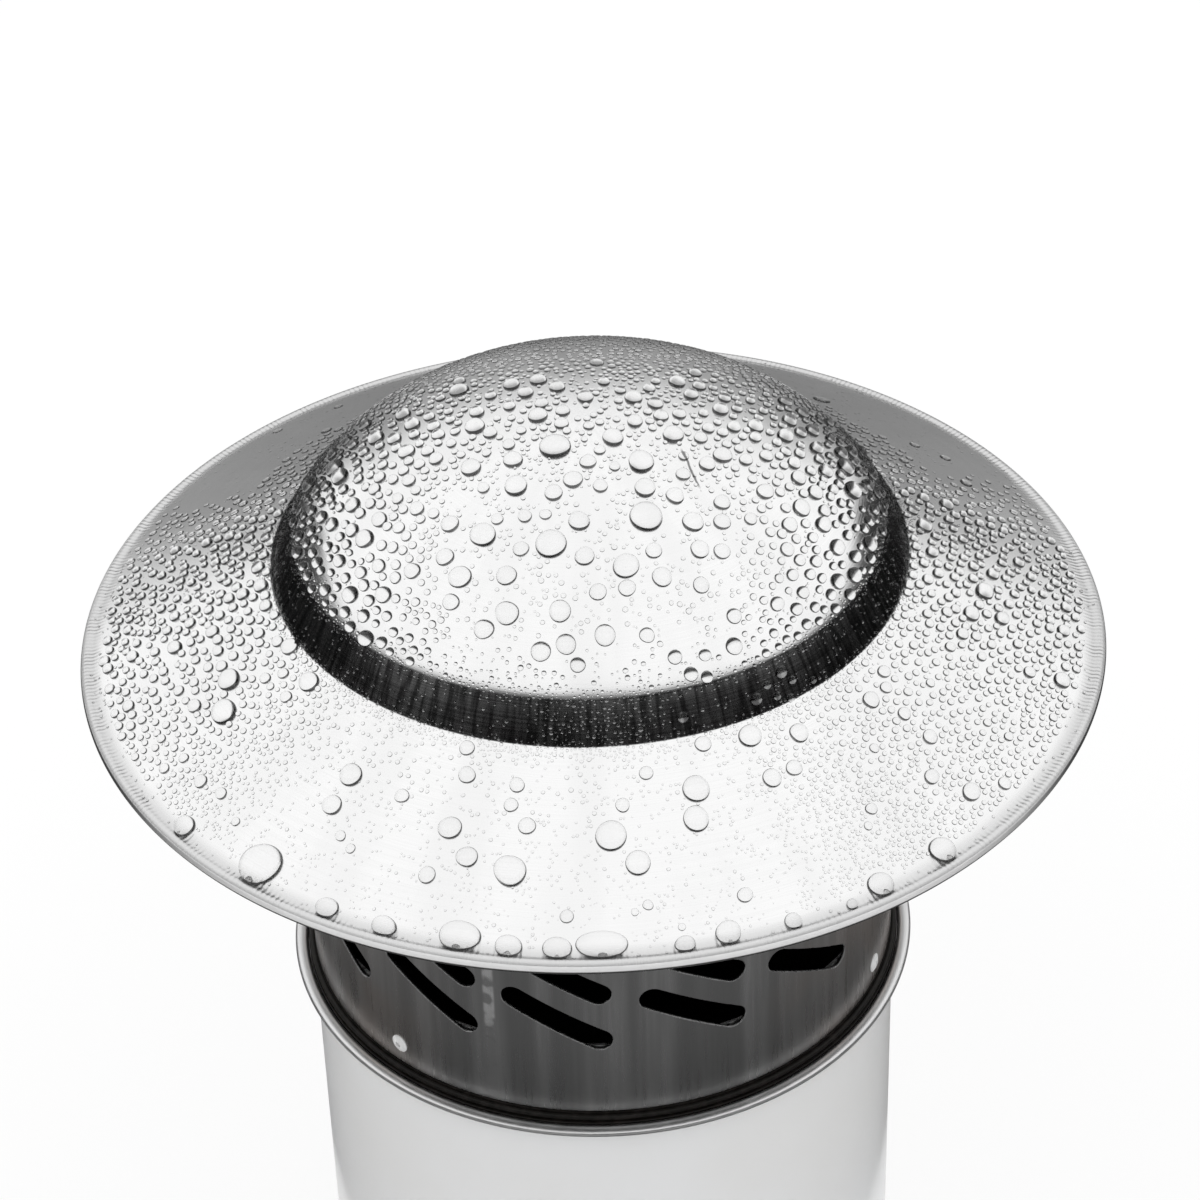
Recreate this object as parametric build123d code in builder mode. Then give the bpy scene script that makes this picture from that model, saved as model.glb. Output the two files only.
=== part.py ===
from build123d import *
from math import asin, atan2, cos, degrees, hypot, radians, sin
import os

# A chimney rain cap: a spun steel hat on a slotted cage, pushed into the sealed top of a white flue collar.
# Millimetres. +Z is up and -Y is the front. The origin is the centre of the collar's lower edge.
# An azimuth is in degrees from the front, growing towards +X.

# Collar tube
collar_radius = 50.0
collar_wall = 0.7
collar_height = 66.0

# Rolled ring on the collar's top edge
ring_land_thickness = 0.6
ring_roll_width = 2.3
ring_roll_height = 1.5
ring_overhang = 3.05
ring_roll_rise = 0.83
ring_skirt_depth = 1.2
ring_skirt_wall = 0.7
ring_seat_step = 0.1
ring_seat_taper = 0.1

# Rubber seal on the ring
seal_height = 2.4
seal_base_height = 0.8
seal_lip_width = 0.4
seal_rib_radius = 0.55
seal_rib_rise = 1.45
seal_ring_clearance = 0.05

# Spigot sleeve, inside the cage and down into the collar
sleeve_clearance = 0.3
sleeve_wall = 0.6
sleeve_insertion = 27.0
sleeve_lap = 14.1

# Slotted cage
cage_wall = 0.6
slot_columns = 14
slot_rows = 5
slot_length = 20.0
slot_width = 4.2
slot_slant = 30.0
slot_azimuth = -9.05
slot_row_pitch = 9.8
slot_first_rise = 19.7
neck_length = 3.5
neck_tabs = 8
neck_tab_gap = 3.0

# Hat
hat_wall = 0.6
hat_seat_gap = 0.02
brim_radius = 83.0
brim_rise = 61.0
step_clearance = 1.5
step_inset = 3.7
step_height = 6.6
step_foot_rise = 15.6
step_foot_bend = 1.5
dome_rise = 18.8
crown_radius = 90.0
crown_reach = 28.0

# Rolled rim and its wire
rim_wire_radius = 0.5
rim_wire_clearance = 0.05
rim_seam_gap = 0.25
rim_groove_bend = 0.5

# Blind rivets
rivet_azimuths = {"left": -43.0, "right": 65.5, "back": 191.0}
rivet_rise = 4.0
rivet_head_radius = 1.6
rivet_head_height = 0.6
rivet_head_edge = 0.15
rivet_shank_radius = 1.0
rivet_hole_clearance = 0.05
rivet_bulge_radius = 1.45
rivet_bulge_length = 1.6
rivet_seat_gap = 0.03
mandrel_radius = 0.5
mandrel_bore_clearance = 0.03
mandrel_recess = 0.3
mandrel_head_radius = 0.95

# Radii and heights that follow from the sizes above
collar_bore = collar_radius - collar_wall
sleeve_radius = collar_bore - sleeve_clearance
sleeve_bore = sleeve_radius - sleeve_wall
cage_bore = sleeve_radius
cage_radius = cage_bore + cage_wall
seal_bore = sleeve_radius + sleeve_clearance
ring_roll_radius = collar_radius + ring_overhang - ring_roll_width / 2
ring_top = collar_height + ring_land_thickness
skirt_bore = collar_radius - ring_seat_step
skirt_foot = collar_height - ring_skirt_depth
skirt_radius = skirt_bore + ring_skirt_wall
seat_top_radius = skirt_bore - ring_seat_taper
cage_bottom = ring_top + seal_height
brim_height = cage_bottom + brim_rise
step_foot_radius = cage_radius + step_clearance
step_top_radius = step_foot_radius - step_inset
step_foot_height = brim_height + step_foot_rise
step_top_height = step_foot_height + step_height
apex_height = step_top_height + dome_rise
curl_bore = rim_wire_radius + rim_wire_clearance
curl_radius = curl_bore + hat_wall
rim_wire_ring_radius = brim_radius - curl_radius
rivet_height = cage_bottom + rivet_rise

# Depth to each side of a wall's outer face that a cut through it reaches, more than the curve falls away
cut_depth = cage_wall + sleeve_wall + slot_length**2 / (8 * cage_radius)

def ring_section(inner_radius, outer_radius, low, high):
    """A rectangle of the half section, from its radii and heights, in the sketch that is being built."""
    with Locations(((inner_radius + outer_radius) / 2, (low + high) / 2)):
        Rectangle(outer_radius - inner_radius, high - low)


# Collar tube, stepped in and slightly tapered at the top, where the ring's skirt grips it
with BuildPart() as collar_tube:
    with BuildSketch(Plane.XZ):
        with BuildLine():
            Polyline(
                (collar_bore, 0),
                (collar_radius, 0),
                (collar_radius, skirt_foot),
                (skirt_bore, skirt_foot),
                (seat_top_radius, collar_height),
                (collar_bore, collar_height),
                close=True,
            )
        make_face()
    revolve(axis=Axis.Z)
collar_tube.part.label = "collar_tube"

# Rolled ring: a land on the tube's edge, a short skirt outside the tube and the oval roll
with BuildPart() as rim_ring:
    with BuildSketch(Plane.XZ):
        ring_section(collar_bore, ring_roll_radius, collar_height, ring_top)
        with BuildLine():
            Polyline(
                (skirt_bore, skirt_foot),
                (skirt_radius, skirt_foot),
                (skirt_radius, collar_height),
                (seat_top_radius, collar_height),
                close=True,
            )
        make_face()
        with Locations((ring_roll_radius, collar_height + ring_roll_rise)):
            Ellipse(ring_roll_width / 2, ring_roll_height / 2)
    revolve(axis=Axis.Z)
rim_ring.part.label = "rim_ring"

# Rubber seal: a base on the ring's land, a thin lip up to the cage's edge and one round rib
with BuildPart() as seal_ring:
    with BuildSketch(Plane.XZ):
        seal_outside = ring_roll_radius - ring_roll_width / 2 - seal_ring_clearance
        ring_section(seal_bore, seal_outside, ring_top, ring_top + seal_base_height)
        ring_section(seal_bore, seal_bore + seal_lip_width, ring_top, cage_bottom)
        with Locations((seal_bore + seal_lip_width + seal_rib_radius / 2, ring_top + seal_rib_rise)):
            Circle(seal_rib_radius)
    revolve(axis=Axis.Z)
seal_ring.part.label = "seal_ring"

# Unit directions of the hat's step, up its slope and square to it outwards
step_slope_length = hypot(step_inset, step_height)
step_up = (-step_inset / step_slope_length, step_height / step_slope_length)
step_out = (step_up[1], -step_up[0])


def height_under_step(radius, depth):
    """Height of the point at this radius on the line that lies this deep under the step's outer face."""
    return step_foot_height + (-depth - (radius - step_foot_radius) * step_out[0]) / step_out[1]


# Cage: a cylinder whose top edge is necked in along the underside of the hat's step
neck_depth = hat_wall + hat_seat_gap
neck_outer_foot = (cage_radius, height_under_step(cage_radius, neck_depth))
neck_inner_foot = (cage_bore, height_under_step(cage_bore, neck_depth + cage_wall))
neck_outer_top = tuple(neck_outer_foot[i] + neck_length * step_up[i] for i in (0, 1))
neck_inner_top = tuple(neck_outer_top[i] - cage_wall * step_out[i] for i in (0, 1))


def wall_plane(azimuth, height, radius):
    """The plane that touches a cylinder at this azimuth and height, X along its girth and Z outwards."""
    turn = radians(azimuth)
    return Plane(
        origin=(radius * sin(turn), -radius * cos(turn), height),
        x_dir=(cos(turn), sin(turn), 0),
        z_dir=(sin(turn), -cos(turn), 0),
    )


slot_planes = []
for column in range(slot_columns):
    for row in range(slot_rows):
        slot_height = cage_bottom + slot_first_rise + row * slot_row_pitch
        slot_planes.append(wall_plane(slot_azimuth + column * 360 / slot_columns, slot_height, cage_radius))

with BuildPart() as cage:
    with BuildSketch(Plane.XZ):
        with BuildLine():
            Polyline(
                (cage_bore, cage_bottom),
                (cage_radius, cage_bottom),
                neck_outer_foot,
                neck_outer_top,
                neck_inner_top,
                neck_inner_foot,
                close=True,
            )
        make_face()
    revolve(axis=Axis.Z)
    with BuildSketch(*slot_planes):
        SlotOverall(slot_length, slot_width, rotation=-slot_slant)
    extrude(amount=cut_depth, both=True, mode=Mode.SUBTRACT)
    for azimuth in rivet_azimuths.values():
        with BuildSketch(wall_plane(azimuth, rivet_height, cage_radius)):
            Circle(rivet_shank_radius + rivet_hole_clearance)
        extrude(amount=cut_depth, both=True, mode=Mode.SUBTRACT)
    with BuildSketch(Plane.XY.offset(neck_outer_foot[1])):
        with PolarLocations(cage_radius, neck_tabs):
            Rectangle(step_inset * 2, neck_tab_gap)
    extrude(amount=neck_length, mode=Mode.SUBTRACT)
cage.part.label = "cage"

# Spigot sleeve
with BuildPart() as spigot_sleeve:
    with BuildSketch(Plane.XZ):
        ring_section(sleeve_bore, sleeve_radius, cage_bottom - sleeve_insertion, cage_bottom + sleeve_lap)
    revolve(axis=Axis.Z)
    for azimuth in rivet_azimuths.values():
        with BuildSketch(wall_plane(azimuth, rivet_height, sleeve_radius)):
            Circle(rivet_shank_radius + rivet_hole_clearance)
        extrude(amount=cut_depth, both=True, mode=Mode.SUBTRACT)
spigot_sleeve.part.label = "spigot_sleeve"

# Dome: a wide crown arc that runs smoothly into a tighter shoulder arc, which ends on the step's top edge
crown_slope = asin(crown_reach / crown_radius)
crown_drop = crown_radius * (1 - cos(crown_slope))
shoulder_drop = dome_rise - crown_drop
shoulder_run = step_top_radius - crown_reach
shoulder_slope = 2 * atan2(shoulder_drop, shoulder_run) - crown_slope
shoulder_radius = shoulder_run / (sin(shoulder_slope) - sin(crown_slope))
crown_centre = (0, apex_height - crown_radius)
shoulder_centre = (
    crown_reach - shoulder_radius * sin(crown_slope),
    apex_height - crown_drop - shoulder_radius * cos(crown_slope),
)


def on_dome(centre, radius, slope, depth):
    """Point of an arc of the dome where it slopes by this angle, this deep under its outer face."""
    return (centre[0] + (radius - depth) * sin(slope), centre[1] + (radius - depth) * cos(slope))


# Directions along the brim, down its slope and square to it outwards
brim_run = brim_radius - step_foot_radius
brim_slope_length = hypot(brim_run, step_foot_rise)
brim_down = (brim_run / brim_slope_length, -step_foot_rise / brim_slope_length)
brim_out = (-brim_down[1], brim_down[0])

# Corner of the sheet's middle line at the step's foot, where both of its lines lie half a wall deep
middle = hat_wall / 2
foot_turn = 1 + step_out[0] * brim_out[0] + step_out[1] * brim_out[1]
foot_middle = (
    step_foot_radius - middle * (step_out[0] + brim_out[0]) / foot_turn,
    step_foot_height - middle * (step_out[1] + brim_out[1]) / foot_turn,
)


def beside_wire(distance, depth):
    """Point at this distance from the wire's centre where the brim, this deep under its outer face, arrives."""
    off_line = curl_radius * brim_out[0] - depth
    before = (distance**2 - off_line**2) ** 0.5
    return (
        rim_wire_ring_radius + off_line * brim_out[0] - before * brim_down[0],
        brim_height + off_line * brim_out[1] - before * brim_down[1],
    )


shoulder_end = on_dome(shoulder_centre, shoulder_radius, shoulder_slope, middle)
rim_joint = beside_wire(curl_bore + middle, middle)
rim_groove = beside_wire(curl_radius, 0)
rim_seam_angle = degrees(atan2(rim_joint[1] - brim_height, rim_joint[0] - rim_wire_ring_radius))
rim_seam_angle += degrees((middle + rim_seam_gap) / curl_bore)

# Hat
with BuildLine() as hat_line:
    crown_end = on_dome(crown_centre, crown_radius, crown_slope, middle)
    RadiusArc((0, apex_height - middle), crown_end, crown_radius - middle)
    RadiusArc(crown_end, shoulder_end, shoulder_radius - middle)
    Polyline(shoulder_end, foot_middle, rim_joint)
    fillet(hat_line.vertices().sort_by_distance(foot_middle)[0], step_foot_bend)

with BuildPart() as hat:
    with BuildSketch(Plane.XZ) as hat_section:
        with BuildLine():
            offset(hat_line.line, amount=middle, kind=Kind.ARC, mode=Mode.ADD)
        make_face()
        with Locations((0, apex_height)):
            Rectangle(hat_wall, 2 * hat_wall, align=(Align.MAX, Align.CENTER), mode=Mode.SUBTRACT)
        with Locations((rim_wire_ring_radius, brim_height)):
            Circle(curl_radius)
        fillet(hat_section.vertices().sort_by_distance(rim_groove)[0], rim_groove_bend)
        with Locations((rim_wire_ring_radius, brim_height)):
            Circle(curl_bore, mode=Mode.SUBTRACT)
            with PolarLocations(curl_bore + middle, 1, rim_seam_angle):
                Rectangle(2 * hat_wall, rim_seam_gap, mode=Mode.SUBTRACT)
    revolve(axis=Axis.Z)
hat.part.label = "hat"

# Wire inside the rolled rim
with BuildPart() as rim_wire:
    with BuildSketch(Plane.XZ):
        with Locations((rim_wire_ring_radius, brim_height)):
            Circle(rim_wire_radius)
    revolve(axis=Axis.Z)
rim_wire.part.label = "rim_wire"


def rivet_frame(azimuth):
    """Half-section plane of a rivet, X square to its axis and Y out along it, from the cage's outer face."""
    touching = wall_plane(azimuth, rivet_height, cage_radius)
    return Plane(origin=touching.origin, x_dir=(0, 0, 1), z_dir=touching.x_dir)


# Blind rivets, each a bored body with a domed head and a bulged tail, and the mandrel left in it
rivet_grip = cage_wall + sleeve_wall
rivet_bore = mandrel_radius + mandrel_bore_clearance
rivet_tail = -rivet_grip - rivet_bulge_length
rivet_cap_rise = rivet_head_height - rivet_head_edge
rivet_head_dome = (rivet_head_radius**2 + rivet_cap_rise**2) / (2 * rivet_cap_rise)
rivet_bore_height = rivet_head_height - rivet_head_dome + (rivet_head_dome**2 - rivet_bore**2) ** 0.5

rivets = {}
mandrels = {}
for side, azimuth in rivet_azimuths.items():
    frame = rivet_frame(azimuth)
    rivet_axis = Axis(frame.origin, frame.y_dir)
    with BuildPart() as rivet:
        with BuildSketch(frame):
            with BuildLine():
                Line((rivet_bore, rivet_tail), (rivet_shank_radius, rivet_tail))
                ThreePointArc(
                    (rivet_shank_radius, rivet_tail),
                    (rivet_bulge_radius, rivet_tail + rivet_bulge_length / 2),
                    (rivet_shank_radius, -rivet_grip - rivet_seat_gap),
                )
                Polyline(
                    (rivet_shank_radius, -rivet_grip - rivet_seat_gap),
                    (rivet_shank_radius, 0),
                    (rivet_head_radius, 0),
                    (rivet_head_radius, rivet_head_edge),
                )
                RadiusArc((rivet_head_radius, rivet_head_edge), (rivet_bore, rivet_bore_height), -rivet_head_dome)
                Line((rivet_bore, rivet_bore_height), (rivet_bore, rivet_tail))
            make_face()
        revolve(axis=rivet_axis)
    rivet.part.label = f"rivet_{side}"
    rivets[side] = rivet
    with BuildPart() as mandrel:
        with BuildSketch(frame):
            with BuildLine():
                Polyline(
                    (0, rivet_head_height - mandrel_recess),
                    (mandrel_radius, rivet_head_height - mandrel_recess),
                    (mandrel_radius, rivet_tail),
                    (mandrel_head_radius, rivet_tail),
                )
                RadiusArc((mandrel_head_radius, rivet_tail), (0, rivet_tail - mandrel_head_radius), mandrel_head_radius)
                Line((0, rivet_tail - mandrel_head_radius), (0, rivet_head_height - mandrel_recess))
            make_face()
        revolve(axis=rivet_axis)
    mandrel.part.label = f"mandrel_{side}"
    mandrels[side] = mandrel

pieces = [collar_tube, rim_ring, seal_ring, spigot_sleeve, cage, hat, rim_wire, *rivets.values(), *mandrels.values()]
os.makedirs("parts", exist_ok=True)
for piece in pieces:
    export_step(piece.part, f"parts/{piece.part.label}.step")
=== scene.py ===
from itertools import product
from math import asin, atan2, cos, degrees, hypot, pi, radians, sin, tan

import bpy
import numpy as np
from mathutils import Matrix, Vector
from mathutils.bvhtree import BVHTree
from mathutils.geometry import delaunay_2d_cdt
from mathutils.kdtree import KDTree


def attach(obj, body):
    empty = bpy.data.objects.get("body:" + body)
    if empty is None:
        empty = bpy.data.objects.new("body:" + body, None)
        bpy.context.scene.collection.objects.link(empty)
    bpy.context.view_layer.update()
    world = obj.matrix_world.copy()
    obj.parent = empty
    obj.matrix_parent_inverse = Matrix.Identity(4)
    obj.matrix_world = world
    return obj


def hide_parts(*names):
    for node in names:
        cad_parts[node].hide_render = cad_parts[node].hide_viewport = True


# A chimney rain cap, wet from the rain, on its white flue collar. Lengths here are in millimetres, and
# Blender's are in metres. -Y is the front. An azimuth is in degrees from the front, growing towards +X.
MM = 0.001

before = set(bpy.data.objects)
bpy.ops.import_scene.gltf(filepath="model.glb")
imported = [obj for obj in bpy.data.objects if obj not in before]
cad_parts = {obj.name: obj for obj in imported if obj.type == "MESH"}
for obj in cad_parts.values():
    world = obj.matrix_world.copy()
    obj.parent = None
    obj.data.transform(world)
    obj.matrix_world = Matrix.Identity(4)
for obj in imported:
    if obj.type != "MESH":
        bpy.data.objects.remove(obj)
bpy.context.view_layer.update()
scene = bpy.context.scene
scene.view_settings.view_transform = "Standard"
rng = np.random.default_rng(41)

# Camera, fitted to the brim, the cage and the collar in the photograph
IMAGE_SIZE = 1200
FOCAL_PIXELS = 3720
SENSOR_WIDTH = 36.0
CAMERA_PLACE = Vector((1.37, -483.0, 495.1)) * MM
CAMERA_PITCH = radians(36.69)
CAMERA_ROLL = radians(1.91)

# Hat
HAT_WALL = 0.6
BRIM_RADIUS = 83.0
BRIM_HEIGHT = 130.0
STEP_FOOT = (51.1, 145.6)
STEP_TOP = (47.4, 152.2)
STEP_FOOT_BEND = 1.5
APEX_HEIGHT = 171.0
CROWN_RADIUS = 90.0
CROWN_REACH = 28.0
CURL_RADIUS = 1.15
CURL_BORE = 0.55
GROOVE_BEND = 1.5
SEAM_HALF_ANGLE = 8.5
SEAM_ANGLE = 197.2
LIP_FACING = (-100.0, 40.0)
HAT_SEGMENTS = 640

# Cage
CAGE_RADIUS = 49.6
CAGE_WALL = 0.6
CAGE_BOTTOM = 69.0
SLOT_COLUMNS = 14
SLOT_ROWS = 5
SLOT_LENGTH = 20.0
SLOT_WIDTH = 4.2
SLOT_SLANT = radians(30.0)
SLOT_AZIMUTH = -9.05
SLOT_ROW_PITCH = 9.8
SLOT_FIRST_HEIGHT = 88.7
WELD_AZIMUTH = -21.9
EDGE_ROUND = 0.14
NECK_LENGTH = 3.5
NECK_TABS = 8
NECK_TAB_GAP = 3.0
NECK_TAB_SEGMENTS = 22

# Net of triangles in one column of the cage: points across and up it, and the room kept free of inner points
NET_ACROSS = 15
NET_UP = 33
SLOT_ROOM = 0.75
SIDE_ROOM = 0.8
# Reach within which points of neighbouring columns are joined
JOIN_REACH = 0.02

# Collar, ring and seal
COLLAR_RADIUS = 50.0
COLLAR_BORE = 49.3
COLLAR_CHAMFER = 0.2
SLEEVE_BORE = 48.4
COLLAR_HEIGHT = 66.0
COLLAR_SEGMENTS = 480
RING_TOP = 66.6
SEAT_RADII = (49.9, 49.8)
SKIRT_RADIUS = 50.6
SKIRT_FOOT = 64.8
ROLL_CENTRE = (51.9, 66.83)
ROLL_WIDTH = 2.3
ROLL_HEIGHT = 1.5
SEAL_RADIUS = 50.7
SEAL_BASE_TOP = 67.4
SEAL_TOP = 69.0
SEAL_LIP = 0.4
SEAL_CHAMFER = 0.1
SEAL_RIB_RADIUS = 0.55
SEAL_RIB_CENTRE = (49.975, 68.05)
SEAL_RIB_ANGLE = 120


def add_object(name, data):
    """A new object in the scene."""
    added = bpy.data.objects.new(name, data)
    scene.collection.objects.link(added)
    return added


# Camera

def camera_axes():
    """Right, down and forward directions of the camera."""
    forward = Vector((0, cos(CAMERA_PITCH), -sin(CAMERA_PITCH)))
    level_down = Vector((0, -sin(CAMERA_PITCH), -cos(CAMERA_PITCH)))
    level_right = Vector((1, 0, 0))
    right = cos(CAMERA_ROLL) * level_right + sin(CAMERA_ROLL) * level_down
    down = cos(CAMERA_ROLL) * level_down - sin(CAMERA_ROLL) * level_right
    return right, down, forward


def add_camera():
    right, down, forward = camera_axes()
    camera = add_object("camera", bpy.data.cameras.new("camera"))
    camera.data.lens = SENSOR_WIDTH * FOCAL_PIXELS / IMAGE_SIZE
    camera.data.sensor_width = SENSOR_WIDTH
    camera.data.clip_start = 0.01
    turn = Matrix((right, -down, -forward)).transposed().to_4x4()
    camera.matrix_world = Matrix.Translation(CAMERA_PLACE) @ turn
    scene.camera = camera


def pixel_ray(x, y):
    """Direction from the camera through a pixel of the photograph."""
    right, down, forward = camera_axes()
    across = (x - IMAGE_SIZE / 2) / FOCAL_PIXELS
    below = (y - IMAGE_SIZE / 2) / FOCAL_PIXELS
    return (forward + right * across + down * below).normalized()


# Meshes

SHARP_ANGLE = radians(35)


def new_object(name, vertices, faces, materials, zones=None, sharp=None):
    """A smooth mesh from points in millimetres. Edges over the sharp angle stay sharp.

    Zones are the numbers of the faces' materials.
    """
    mesh = bpy.data.meshes.new(name)
    mesh.from_pydata((np.asarray(vertices) * MM).tolist(), [], faces)
    mesh.shade_smooth()
    if sharp:
        mesh.set_sharp_from_angle(angle=sharp)
    for material in materials:
        mesh.materials.append(material)
    if zones:
        mesh.polygons.foreach_set("material_index", zones)
    mesh.update()
    return add_object(name, mesh)


def arc(centre, radius, start, end, steps, flatness=1.0):
    """Points of a circle's or flat oval's arc between two angles in degrees."""
    turns = np.radians(np.linspace(start, end, steps + 1))
    return [(centre[0] + radius * cos(t), centre[1] + radius * flatness * sin(t)) for t in turns]


def unit(x, y):
    return np.array((x, y)) / hypot(x, y)


def rounded(before, corner, after, radius, steps):
    """Points that round the corner between two straight runs of a section."""
    before, corner, after = (np.array(p, float) for p in (before, corner, after))
    into = unit(*(corner - before))
    out = unit(*(after - corner))
    half_turn = np.arccos(np.clip(into @ out, -1, 1)) / 2
    tangent = radius * tan(half_turn)
    centre = corner + unit(*(out - into)) * radius / cos(half_turn)
    start = corner - into * tangent - centre
    end = corner + out * tangent - centre
    spokes = (start * (1 - share) + end * share for share in np.linspace(0, 1, steps + 1))
    return [tuple(centre + radius * unit(*spoke)) for spoke in spokes]


def lathe(name, section, segments, materials, closed=True, span=(0.0, 360.0)):
    """Turns a section of (radius, height) points about Z. An open section starts and ends on the axis."""
    whole = span[1] - span[0] >= 360
    turns = np.radians(np.linspace(span[0], span[1], segments, endpoint=not whole))
    vertices = []
    rings = []
    for radius, height in section:
        first = len(vertices)
        if radius < 1e-6:
            vertices.append((0, 0, height))
            rings.append([first] * segments)
        else:
            vertices += [(radius * sin(t), -radius * cos(t), height) for t in turns]
            rings.append(list(range(first, first + segments)))
    faces = []
    pairs = list(zip(rings, rings[1:])) + ([(rings[-1], rings[0])] if closed else [])
    steps = segments if whole else segments - 1
    for ring, following in pairs:
        for i in range(steps):
            j = (i + 1) % segments
            corners = dict.fromkeys([ring[i], ring[j], following[j], following[i]])
            faces.append(list(corners)[::-1])
    if not whole:
        faces.append([ring[0] for ring in rings])
        faces.append([ring[-1] for ring in rings][::-1])
    return new_object(name, vertices, faces, materials, sharp=SHARP_ANGLE)


# Section of the hat, from the apex out over the dome, the step, the brim and the rim, and back inside

step_down = unit(STEP_FOOT[0] - STEP_TOP[0], STEP_FOOT[1] - STEP_TOP[1])
step_out = np.array((-step_down[1], step_down[0]))
brim_down = unit(BRIM_RADIUS - STEP_FOOT[0], BRIM_HEIGHT - STEP_FOOT[1])
brim_out = np.array((-brim_down[1], brim_down[0]))
wire_centre = np.array((BRIM_RADIUS - CURL_RADIUS, BRIM_HEIGHT))

crown_slope = asin(CROWN_REACH / CROWN_RADIUS)
crown_drop = CROWN_RADIUS * (1 - cos(crown_slope))
shoulder_run = STEP_TOP[0] - CROWN_REACH
shoulder_drop = APEX_HEIGHT - STEP_TOP[1] - crown_drop
shoulder_slope = 2 * atan2(shoulder_drop, shoulder_run) - crown_slope
shoulder_radius = shoulder_run / (sin(shoulder_slope) - sin(crown_slope))
crown_centre = (0, APEX_HEIGHT - CROWN_RADIUS)
shoulder_centre = (
    CROWN_REACH - shoulder_radius * sin(crown_slope),
    APEX_HEIGHT - crown_drop - shoulder_radius * cos(crown_slope),
)


def dome_section(depth, crown_steps, shoulder_steps):
    """The dome's face this deep in the sheet, from the apex outwards. An arc's angle is 90 less its slope."""
    turn = 90 - degrees(crown_slope)
    end = 90 - degrees(shoulder_slope)
    points = arc(crown_centre, CROWN_RADIUS - depth, 90, turn, crown_steps)
    points[0] = (0, points[0][1])
    return points + arc(shoulder_centre, shoulder_radius - depth, turn, end, shoulder_steps)[1:]


def on_brim(distance, depth):
    """Point on the brim's face this deep in the sheet, at this distance from the wire's centre."""
    off_line = CURL_RADIUS * brim_out[0] - depth
    return wire_centre + off_line * brim_out - (distance**2 - off_line**2) ** 0.5 * brim_down


def angle_about(centre, point):
    return degrees(atan2(point[1] - centre[1], point[0] - centre[0]))


def hat_section():
    groove_centre = on_brim(CURL_RADIUS + GROOVE_BEND, -GROOVE_BEND)
    groove_line = groove_centre - GROOVE_BEND * brim_out
    groove_angle = angle_about(wire_centre, groove_centre)
    seam_low = SEAM_ANGLE + SEAM_HALF_ANGLE - 360
    seam_high = SEAM_ANGLE - SEAM_HALF_ANGLE
    inner_end = on_brim(CURL_RADIUS, HAT_WALL)
    inner_foot = STEP_FOOT - HAT_WALL * (step_out + brim_out) / (1 + step_out @ brim_out)
    inner_dome = dome_section(HAT_WALL, 12, 10)[::-1]

    outer = dome_section(0, 18, 16)
    outer += rounded(STEP_TOP, STEP_FOOT, groove_line, STEP_FOOT_BEND - HAT_WALL / 2, 6)
    groove_start = angle_about(groove_centre, groove_line)
    outer += arc(groove_centre, GROOVE_BEND, groove_start, groove_angle - 180, 4)
    outer += arc(wire_centre, CURL_RADIUS, groove_angle, 0, 14)[1:]
    under = arc(wire_centre, CURL_RADIUS, 0, seam_low, 16)[1:]
    under += arc(wire_centre, CURL_BORE, seam_low, seam_high, 20)
    under += arc(wire_centre, CURL_RADIUS, seam_high, angle_about(wire_centre, inner_end), 2)
    under += rounded(inner_end, inner_foot, inner_dome[0], STEP_FOOT_BEND + HAT_WALL / 2, 5)
    return outer, under + inner_dome


hat_outer, hat_under = hat_section()


def add_hat():
    steels = [hat_steel(), lip_steel()]
    hat = lathe("hat_sheet", hat_outer + hat_under, HAT_SEGMENTS, steels, closed=False)
    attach(hat, "cap_head")
    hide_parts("hat")
    hat.data.polygons.foreach_set("material_index", [on_lip(face.center) for face in hat.data.polygons])
    return hat


def on_lip(place):
    """1 on the outer side of the rolled rim, and 0 elsewhere."""
    out = hypot(place.x, place.y) / MM - wire_centre[0]
    up = place.z / MM - wire_centre[1]
    on_curl = hypot(out, up) > CURL_RADIUS - 0.05
    return int(on_curl and LIP_FACING[0] < degrees(atan2(up, out)) < LIP_FACING[1])


# Cage: one column of slots as a flat sheet, rolled up and repeated round the cylinder

neck_height = STEP_FOOT[1] - (HAT_WALL + (CAGE_RADIUS - STEP_FOOT[0]) * step_out[0]) / step_out[1]
slot_half = (SLOT_LENGTH - SLOT_WIDTH) / 2
slant_cos = cos(SLOT_SLANT)
slant_sin = sin(SLOT_SLANT)
slot_heights = [SLOT_FIRST_HEIGHT + row * SLOT_ROW_PITCH for row in range(SLOT_ROWS)]
column_side = pi * CAGE_RADIUS / SLOT_COLUMNS
column_places = np.linspace(-column_side, column_side, NET_ACROSS)


def slot_outline(height, spread):
    """Outline of a slot in the unrolled sheet, grown by a spread, with the same points for any spread."""
    radius = SLOT_WIDTH / 2 + spread
    points = []
    for side, start in ((1, -90), (-1, 90)):
        end = side * slot_half
        points += arc((end, 0), radius, start, start + 180, 12)
        points += [(x, side * radius) for x in np.linspace(end, -end, 25)[1:-1]]
    return [(x * slant_cos + y * slant_sin, height - x * slant_sin + y * slant_cos) for x, y in points]


def outline_directions(points):
    """Unit directions square to a closed outline, pointing out of it."""
    points = np.array(points)
    along = np.roll(points, -1, 0) - np.roll(points, 1, 0)
    along /= np.linalg.norm(along, axis=1)[:, None]
    return np.stack([along[:, 1], -along[:, 0]], -1)


def round_over():
    """Steps of a rounded edge: spread from the wall, depth under the face, and the normal's lean."""
    leans = np.radians(np.linspace(0, 90, 4))
    face = [(EDGE_ROUND * (1 - sin(t)), EDGE_ROUND * (1 - cos(t)), t) for t in leans]
    back = [(spread, CAGE_WALL - depth, pi - lean) for spread, depth, lean in face[::-1]]
    return face + back


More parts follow.
